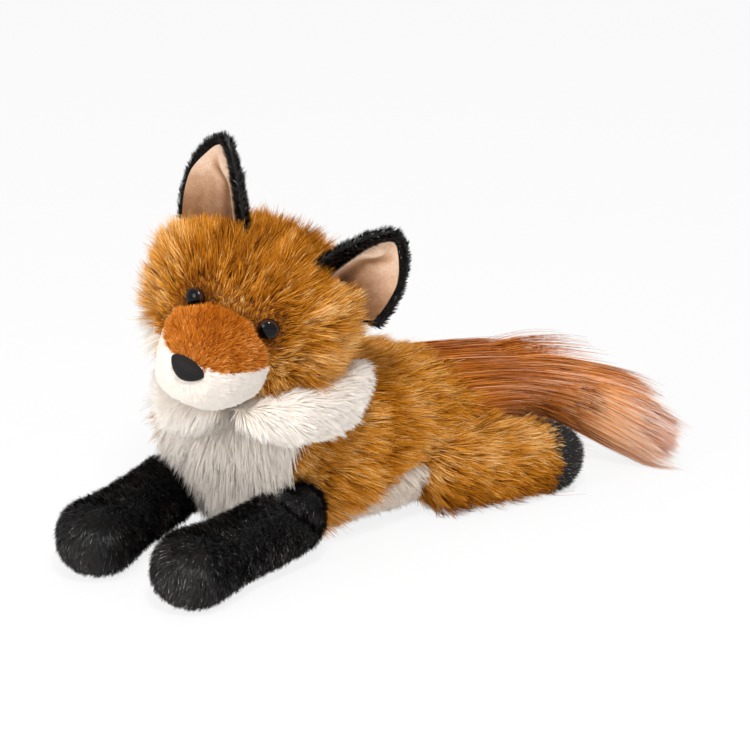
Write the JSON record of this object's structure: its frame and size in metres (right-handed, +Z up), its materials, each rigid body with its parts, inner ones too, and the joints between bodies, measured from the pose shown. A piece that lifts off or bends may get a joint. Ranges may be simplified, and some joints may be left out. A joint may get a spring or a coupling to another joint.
{
  "type": "plush fox",
  "caption": "Long-haired stuffed toy fox lying on its front with forelegs stretched ahead, turned tipped head, upright lined ears and a long brush tail.",
  "frame": {"origin": "under the middle of the toy, on the surface that it lies on", "axes": "+Z up; the toy lies along Y with its chest and forelegs towards -Y and its tail towards +Y; +X is its own left side"},
  "size_m": [0.164, 0.3954, 0.2453],
  "materials": {
    "golden_pile": "long golden-brown acrylic pile with lighter tips",
    "white_pile": "long off-white acrylic pile",
    "tail_pile": "extra long straight rust-brown pile with dark streaks",
    "tail_tip_pile": "extra long pale pile",
    "rust_short_pile": "short rust-orange pile",
    "white_short_pile": "short off-white pile",
    "black_pile": "dense black pile with grey sheen",
    "ear_suede": "brushed cream suede cloth",
    "nose_velour": "matte black velour over padding",
    "eye_plastic": "polished near-black plastic with a thin brown rim",
    "washer_plastic": "natural plastic lock washer",
    "fibre_stuffing": "white polyester fibre fill",
    "pellet_bag": "cloth bag of plastic pellets"
  },
  "bodies": {
    "torso": {"back_skin": "golden_pile", "chest_bib": "white_pile", "belly_panel": "white_pile", "body_stuffing": "fibre_stuffing", "belly_pellet_bag": "pellet_bag"},
    "tail": {"tail_skin": "tail_pile", "tail_tip": "tail_tip_pile", "tail_stuffing": "fibre_stuffing"},
    "head": {"head_skin": "golden_pile", "head_stuffing": "fibre_stuffing", "muzzle_top": "rust_short_pile", "muzzle_chin": "white_short_pile", "muzzle_stuffing": "fibre_stuffing", "nose": "nose_velour", "eye_left": "eye_plastic", "eye_right": "eye_plastic", "eye_washer_left": "washer_plastic", "eye_washer_right": "washer_plastic", "cheek_ruff_left": "white_pile", "cheek_ruff_right": "white_pile"},
    "ear_left": {"ear_left_back": "black_pile", "ear_left_lining": "ear_suede"},
    "foreleg_left": {"foreleg_left_skin": "black_pile", "foreleg_left_stuffing": "fibre_stuffing", "paw_left_pellets": "pellet_bag"},
    "hindleg_left": {"thigh_left_skin": "golden_pile", "foot_left_skin": "black_pile", "thigh_left_stuffing": "fibre_stuffing", "foot_left_pellets": "pellet_bag"},
    "ear_right": {"ear_right_back": "black_pile", "ear_right_lining": "ear_suede"},
    "foreleg_right": {"foreleg_right_skin": "black_pile", "foreleg_right_stuffing": "fibre_stuffing", "paw_right_pellets": "pellet_bag"},
    "hindleg_right": {"thigh_right_skin": "golden_pile", "foot_right_skin": "black_pile", "thigh_right_stuffing": "fibre_stuffing", "foot_right_pellets": "pellet_bag"}
  },
  "joints": [
    {"name": "head_turn", "type": "hinge", "parent": "torso", "child": "head", "pos_m": [0.00323, -0.08968, 0.155], "axis": [0, 0, 1], "range_deg": [-12, 12], "stiffness_Nm_per_rad": 0.4},
    {"name": "ear_left_fold", "type": "hinge", "parent": "head", "child": "ear_left", "pos_m": [0.04296, -0.06137, 0.16343], "axis": [0.3106, 0.7265, -0.613], "range_deg": [-15, 15], "stiffness_Nm_per_rad": 0.05},
    {"name": "ear_right_fold", "type": "hinge", "parent": "head", "child": "ear_right", "pos_m": [-0.01507, -0.09353, 0.19708], "axis": [0.9989, -0.0093, 0.0456], "range_deg": [-15, 15], "stiffness_Nm_per_rad": 0.05},
    {"name": "foreleg_left_swing", "type": "hinge", "parent": "torso", "child": "foreleg_left", "pos_m": [0.02523, -0.07918, 0], "axis": [0, 0, 1], "range_deg": [-3, 15]},
    {"name": "foreleg_right_swing", "type": "hinge", "parent": "torso", "child": "foreleg_right", "pos_m": [-0.06277, -0.09368, 0], "axis": [0, 0, 1], "range_deg": [-15, 3]},
    {"name": "hindleg_left_swing", "type": "hinge", "parent": "torso", "child": "hindleg_left", "pos_m": [0.02823, 0.03432, 0], "axis": [0, 0, 1], "range_deg": [-18, 0]},
    {"name": "hindleg_right_swing", "type": "hinge", "parent": "torso", "child": "hindleg_right", "pos_m": [-0.03977, 0.03432, 0], "axis": [0, 0, 1], "range_deg": [0, 18]},
    {"name": "tail_swing", "type": "hinge", "parent": "torso", "child": "tail", "pos_m": [0.00022, 0.06932, 0.066], "axis": [0, 0, 1], "range_deg": [-3, 24]}
  ]
}
